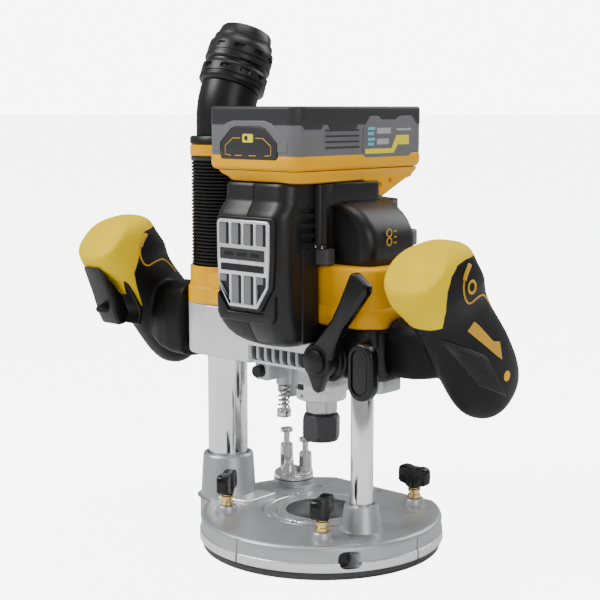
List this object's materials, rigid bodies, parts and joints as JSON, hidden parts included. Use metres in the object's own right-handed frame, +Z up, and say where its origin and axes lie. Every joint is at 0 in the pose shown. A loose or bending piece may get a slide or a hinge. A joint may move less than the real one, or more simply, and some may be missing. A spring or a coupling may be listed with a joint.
{
  "type": "plunge router",
  "caption": "Cordless plunge router with bellows dust column, side handles, depth-stop turret, top battery and round cast base.",
  "frame": {"origin": "middle of the overall box in plan, on the plane of the sub-base's underside", "axes": "+Z up along the spindle, +X from the large dust column towards the small column, -Y the front with the cover and battery end"},
  "size_m": [0.318, 0.1519, 0.3491],
  "materials": {
    "cast_metal": "sand-cast light alloy, satin",
    "machined_metal": "machined, satin",
    "chrome": "polished hard chrome",
    "steel": "turned steel",
    "dark_steel": "blackened steel",
    "brass": "turned brass",
    "black_plastic": "fine moulded texture",
    "bellows_rubber": "matt moulded rubber",
    "soft_grip": "matt soft-touch overmould",
    "yellow_plastic": "satin moulded",
    "grey_plastic": "satin moulded",
    "copper": "enamelled copper windings",
    "circuit_board": "coated board"
  },
  "bodies": {
    "base": {"base_casting": "cast_metal", "sub_base": "black_plastic", "guide_insert": "machined_metal", "left_column": "chrome", "right_column": "chrome", "turret_pivot_screw": "steel", "dust_ring": "yellow_plastic", "dust_cap": "black_plastic", "bellows": "bellows_rubber", "plunge_spring": "steel"},
    "knob_left": {"clamp_screw_left": "brass", "clamp_wing_left": "black_plastic"},
    "knob_front": {"clamp_screw_front": "brass", "clamp_wing_front": "black_plastic"},
    "knob_right": {"clamp_screw_right": "brass", "clamp_wing_right": "black_plastic"},
    "turret": {"turret_plate": "machined_metal", "stop_screw_short": "machined_metal", "stop_screw_tall": "machined_metal"},
    "elbow": {"dust_elbow": "black_plastic"},
    "hose_collar": {"dust_collar": "black_plastic"},
    "carriage": {"carriage_casting": "cast_metal", "motor_housing": "yellow_plastic", "lower_housing": "black_plastic", "left_bush": "brass", "right_bush": "brass", "upper_housing": "black_plastic", "front_cover": "black_plastic", "control_board": "circuit_board", "louvre_plate": "machined_metal", "nose_casting": "cast_metal", "rod_guide": "cast_metal", "bumper_spring": "steel", "battery_foot": "yellow_plastic", "stator": "copper", "lower_bearing": "steel", "upper_bearing": "steel", "left_grip": "soft_grip", "right_grip": "soft_grip", "left_cap": "yellow_plastic", "right_cap": "yellow_plastic", "lever_bolt": "dark_steel"},
    "spindle": {"spindle_shaft": "steel", "rotor": "dark_steel", "cooling_fan": "black_plastic", "collet_nut": "dark_steel"},
    "stop_rod": {"depth_rod": "steel"},
    "rod_knob": {"depth_knob": "black_plastic"},
    "lever": {"plunge_lever": "black_plastic"},
    "paddle": {"lock_paddle": "black_plastic"},
    "dial": {"speed_dial": "grey_plastic"},
    "shaft_lock": {"spindle_lock": "black_plastic"},
    "bumper": {"bumper_screw": "machined_metal"},
    "battery": {"battery_base": "yellow_plastic", "battery_case": "grey_plastic"},
    "release": {"battery_release": "black_plastic"},
    "trigger_lever": {"trigger": "black_plastic"},
    "safety_button": {"lock_off": "grey_plastic"}
  },
  "joints": [
    {"name": "left_knob_turn", "type": "hinge", "parent": "base", "child": "knob_left", "pos_m": [-0.03, -0.04155, 0.027], "axis": [0, 0, 1], "continuous": true},
    {"name": "front_knob_turn", "type": "hinge", "parent": "base", "child": "knob_front", "pos_m": [0.055, -0.04155, 0.027], "axis": [0, 0, 1], "continuous": true},
    {"name": "right_knob_turn", "type": "hinge", "parent": "base", "child": "knob_right", "pos_m": [0.0535, 0.05645, 0.027], "axis": [0, 0, 1], "continuous": true},
    {"name": "turret_turn", "type": "hinge", "parent": "base", "child": "turret", "pos_m": [-0.0455, 0.04245, 0.0263], "axis": [0, 0, 1], "continuous": true},
    {"name": "elbow_swivel", "type": "hinge", "parent": "base", "child": "elbow", "pos_m": [-0.0605, -0.00955, 0.2737], "axis": [0, 0, 1], "continuous": true},
    {"name": "collar_twist", "type": "hinge", "parent": "elbow", "child": "hose_collar", "pos_m": [-0.0605, -0.00498, 0.30392], "axis": [0, 0.3907, 0.9205], "range_deg": [0, 40]},
    {"name": "plunge", "type": "slide", "parent": "base", "child": "carriage", "axis": [0, 0, -1], "range_m": [0, 0.056], "stiffness_N_per_m": 400, "springref_m": -0.15, "deforming": ["bellows", "plunge_spring"]},
    {"name": "spindle_spin", "type": "hinge", "parent": "carriage", "child": "spindle", "pos_m": [0.0125, 0.00645, 0.1], "axis": [0, 0, 1], "continuous": true},
    {"name": "depth_slide", "type": "slide", "parent": "carriage", "child": "stop_rod", "axis": [0, 0, 1], "range_m": [-0.037, 0]},
    {"name": "rack_knob_turn", "type": "hinge", "parent": "carriage", "child": "rod_knob", "pos_m": [-0.052, 0.04505, 0.143], "axis": [0, -1, 0], "range_deg": [-340, 0]},
    {"name": "plunge_lock", "type": "hinge", "parent": "carriage", "child": "lever", "pos_m": [0.054, -0.03955, 0.1365], "axis": [0, -1, 0], "range_deg": [-8, 16]},
    {"name": "paddle_turn", "type": "hinge", "parent": "carriage", "child": "paddle", "pos_m": [0.0855, -0.03505, 0.133], "axis": [0, -1, 0], "continuous": true},
    {"name": "speed_turn", "type": "hinge", "parent": "carriage", "child": "dial", "pos_m": [0.0665, 0.02245, 0.2052], "axis": [0, 0, 1], "range_deg": [0, 270]},
    {"name": "shaft_lock_press", "type": "slide", "parent": "carriage", "child": "shaft_lock", "axis": [0, 1, 0], "range_m": [0, 0.003], "stiffness_N_per_m": 600},
    {"name": "bumper_press", "type": "slide", "parent": "carriage", "child": "bumper", "axis": [0, 0, 1], "range_m": [0, 0.006], "stiffness_N_per_m": 800, "deforming": ["bumper_spring"]},
    {"name": "battery_slide", "type": "slide", "parent": "carriage", "child": "battery", "axis": [0, -1, 0], "range_m": [0, 0.06]},
    {"name": "release_press", "type": "slide", "parent": "battery", "child": "release", "axis": [0, 1, 0], "range_m": [0, 0.003], "stiffness_N_per_m": 600},
    {"name": "trigger_pull", "type": "hinge", "parent": "carriage", "child": "trigger_lever", "pos_m": [-0.1375, -0.04755, 0.176], "axis": [1, 0, 0], "range_deg": [0, 8], "stiffness_Nm_per_rad": 1},
    {"name": "safety_press", "type": "slide", "parent": "trigger_lever", "child": "safety_button", "axis": [0, 0, 1], "range_m": [0, 0.003], "stiffness_N_per_m": 400}
  ],
  "couplings": [
    {"joint": "rack_knob_turn", "follows": "depth_slide", "rad_per_m": 158.7}
  ]
}
